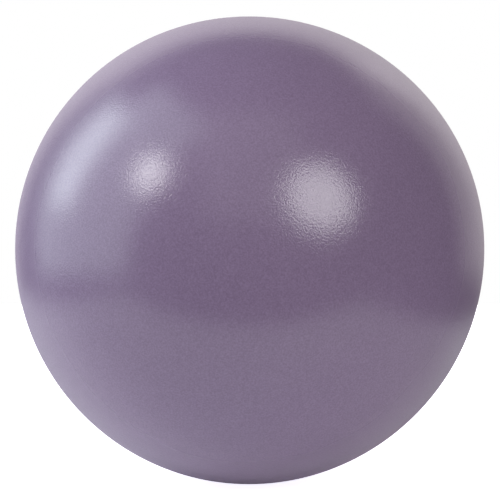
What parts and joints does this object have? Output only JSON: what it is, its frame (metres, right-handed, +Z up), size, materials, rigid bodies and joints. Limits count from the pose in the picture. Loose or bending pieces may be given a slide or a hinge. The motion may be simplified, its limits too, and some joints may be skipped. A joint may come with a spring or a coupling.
{
  "type": "exercise ball",
  "caption": "Small soft inflated exercise ball with a smooth finely grained vinyl skin, resting on a small flat patch, with a push-in valve plug flush with its back.",
  "frame": {"origin": "centre of the small flat patch that the ball rests on, at floor level", "axes": "+Z up from the patch through the ball's centre; +Y from the ball's centre out through the valve; -Y is the plain front; +X to the right of the front"},
  "size_m": [0.25, 0.2499, 0.249],
  "materials": {
    "ball_skin": "satin",
    "valve_vinyl": "satin",
    "plug_plastic": "satin"
  },
  "bodies": {
    "ball": {"ball_shell": "ball_skin", "valve_seat": "valve_vinyl"},
    "plug": {"valve_plug": "plug_plastic"}
  },
  "joints": [
    {"name": "plug_pull", "type": "slide", "parent": "ball", "child": "plug", "axis": [0, 1, 0], "range_m": [0, 0.022]}
  ]
}
